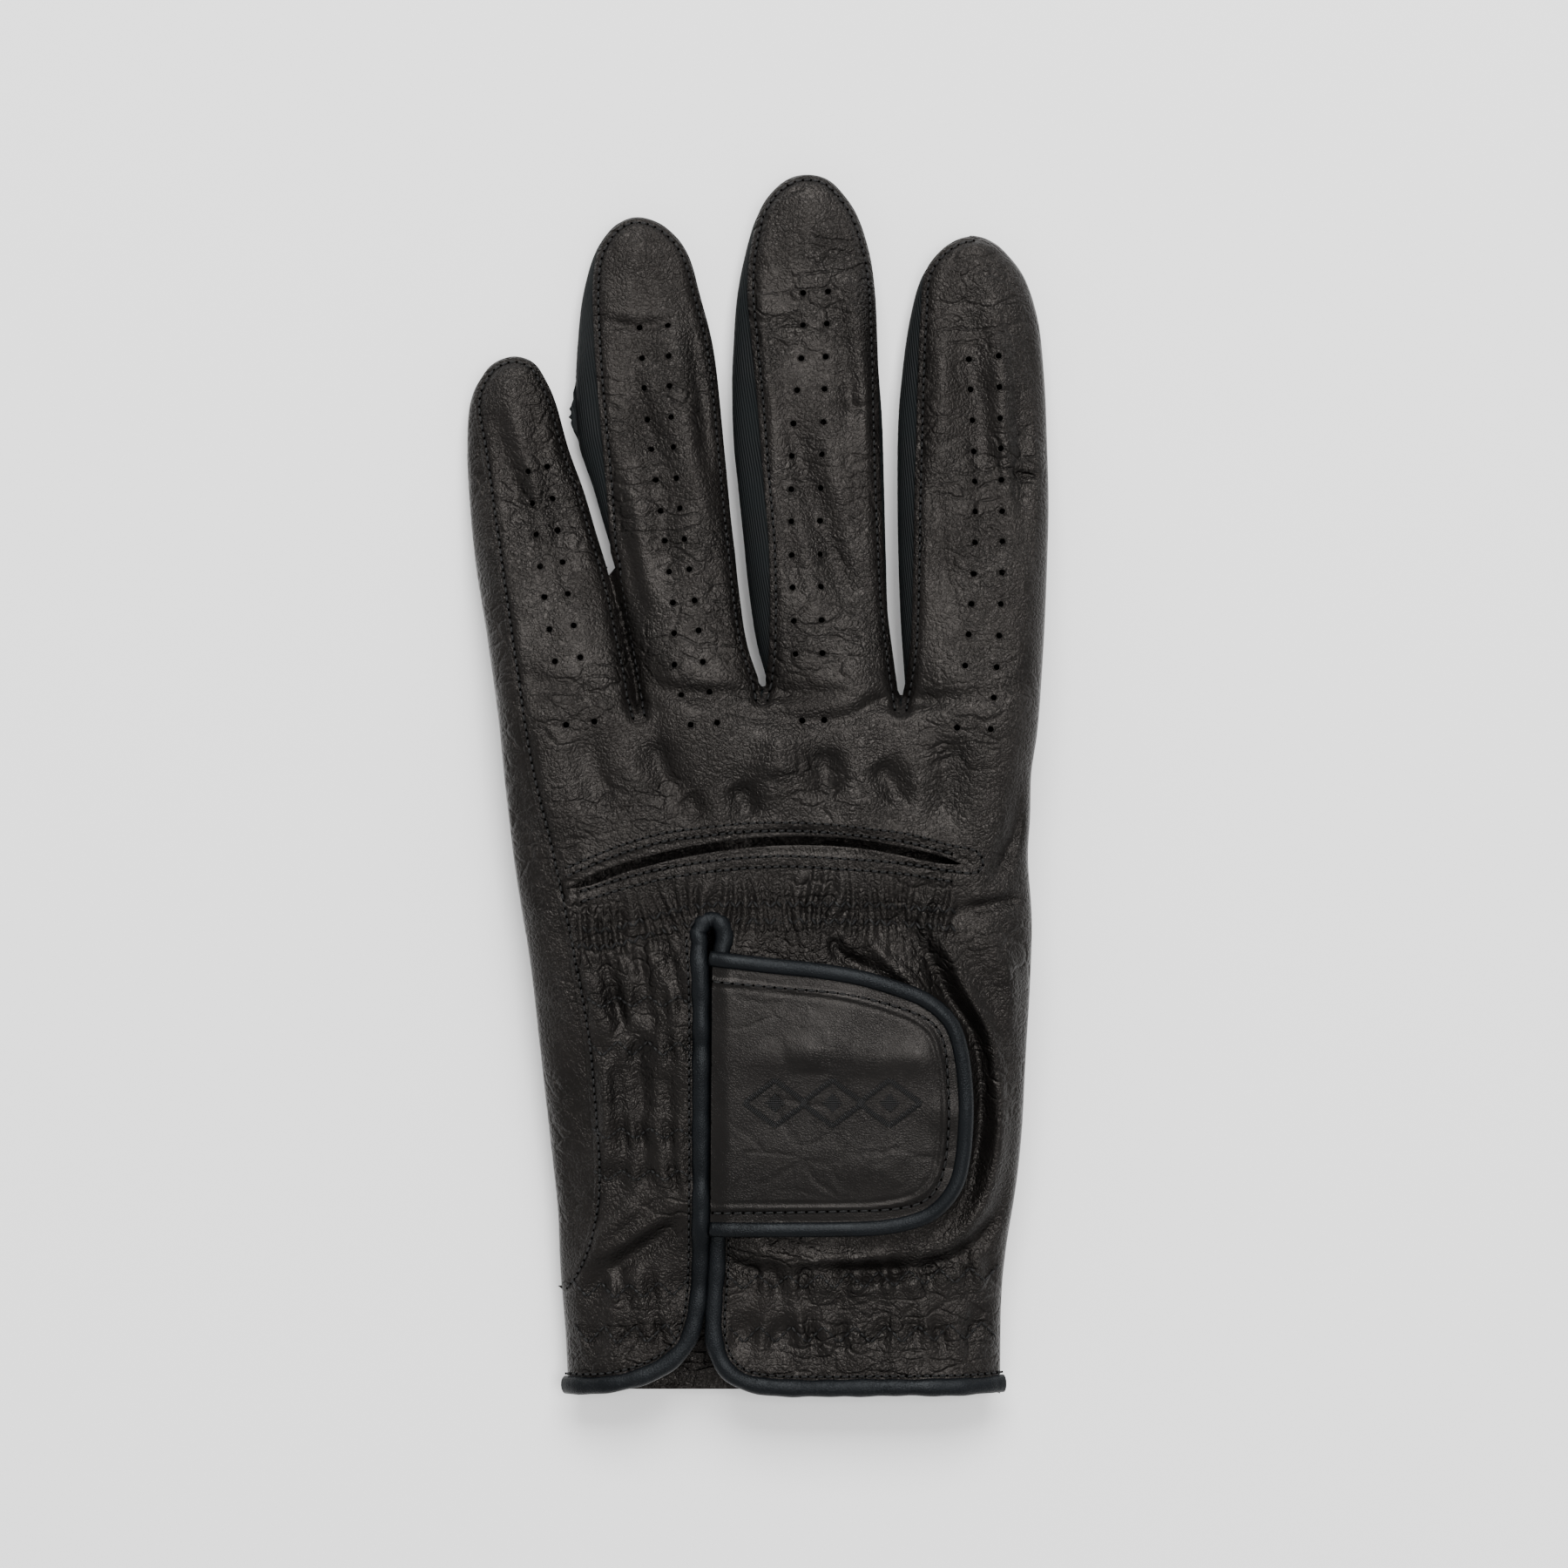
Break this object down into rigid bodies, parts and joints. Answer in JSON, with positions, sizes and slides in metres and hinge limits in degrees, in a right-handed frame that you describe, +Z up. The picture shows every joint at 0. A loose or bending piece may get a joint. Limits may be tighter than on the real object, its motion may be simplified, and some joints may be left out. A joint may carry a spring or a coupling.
{
  "type": "golf glove",
  "caption": "Leather golf glove for the left hand, lying palm down, with perforated fingers, stretch fabric finger walls, elastic gathers and a hook-and-loop wrist tab.",
  "frame": {"origin": "centre of the glove's plan, at the ground it lies on", "axes": "+X to the thumb and index side, +Y to the fingertips, +Z up out of the back of the hand"},
  "size_m": [0.1086, 0.2265, 0.0252],
  "materials": {
    "leather": "fine pebbled grain, soft sheen",
    "binding": "smooth bound edge",
    "stretch_fabric": "fine diagonal weave",
    "elastic": "ribbed",
    "hook_and_loop": "napped"
  },
  "bodies": {
    "hand": {"back_panel": "leather", "palm_panel": "leather", "outer_side_panel": "leather", "fourchette_little_ring": "stretch_fabric", "fourchette_ring_middle": "stretch_fabric", "fourchette_middle_index": "stretch_fabric", "vent_facing_upper": "stretch_fabric", "vent_facing_lower": "stretch_fabric", "knuckle_elastic_outer": "elastic", "knuckle_elastic_inner": "elastic", "wrist_elastic_upper": "elastic", "wrist_elastic_lower": "elastic", "cuff_elastic_outer": "elastic", "cuff_elastic_inner": "elastic", "opening_binding": "binding", "palm_hem": "leather", "size_label": "stretch_fabric", "loop_patch": "hook_and_loop"},
    "little_finger": {"little_back": "leather", "little_front": "leather", "little_outer_side": "leather", "little_fourchette": "stretch_fabric"},
    "ring_finger": {"ring_back": "leather", "ring_front": "leather", "ring_fourchette_outer": "stretch_fabric", "ring_fourchette_inner": "stretch_fabric"},
    "middle_finger": {"middle_back": "leather", "middle_front": "leather", "middle_fourchette_outer": "stretch_fabric", "middle_fourchette_inner": "stretch_fabric"},
    "index_finger": {"index_back": "leather", "index_front": "leather", "index_fourchette_outer": "stretch_fabric"},
    "thumb": {"thumb_palm_side": "leather", "thumb_back_side": "leather", "thumb_seam_strip": "leather", "thumb_web_strip": "leather"},
    "closure_tab": {"tab_backing": "stretch_fabric", "tab_leather": "leather", "tab_binding": "binding", "hook_patch": "hook_and_loop"}
  },
  "joints": [
    {"name": "little_flex", "type": "hinge", "parent": "hand", "child": "little_finger", "pos_m": [-0.0369, 0.027, 0.01205], "axis": [-1, 0, 0], "range_deg": [0, 85]},
    {"name": "ring_flex", "type": "hinge", "parent": "hand", "child": "ring_finger", "pos_m": [-0.0129, 0.031, 0.01246], "axis": [-1, 0, 0], "range_deg": [0, 85]},
    {"name": "middle_flex", "type": "hinge", "parent": "hand", "child": "middle_finger", "pos_m": [0.0121, 0.031, 0.01265], "axis": [-1, 0, 0], "range_deg": [0, 85]},
    {"name": "index_flex", "type": "hinge", "parent": "hand", "child": "index_finger", "pos_m": [0.0396, 0.0295, 0.01251], "axis": [-1, 0, 0], "range_deg": [0, 85]},
    {"name": "thumb_swing", "type": "hinge", "parent": "hand", "child": "thumb", "pos_m": [0.0492, -0.026, 0.0066], "axis": [0, -1, 0], "range_deg": [0, 150]},
    {"name": "tab_opening", "type": "hinge", "parent": "hand", "child": "closure_tab", "pos_m": [-0.0076, -0.08, 0.0184], "axis": [0, -0.9946, -0.1036], "range_deg": [0, 150]}
  ]
}
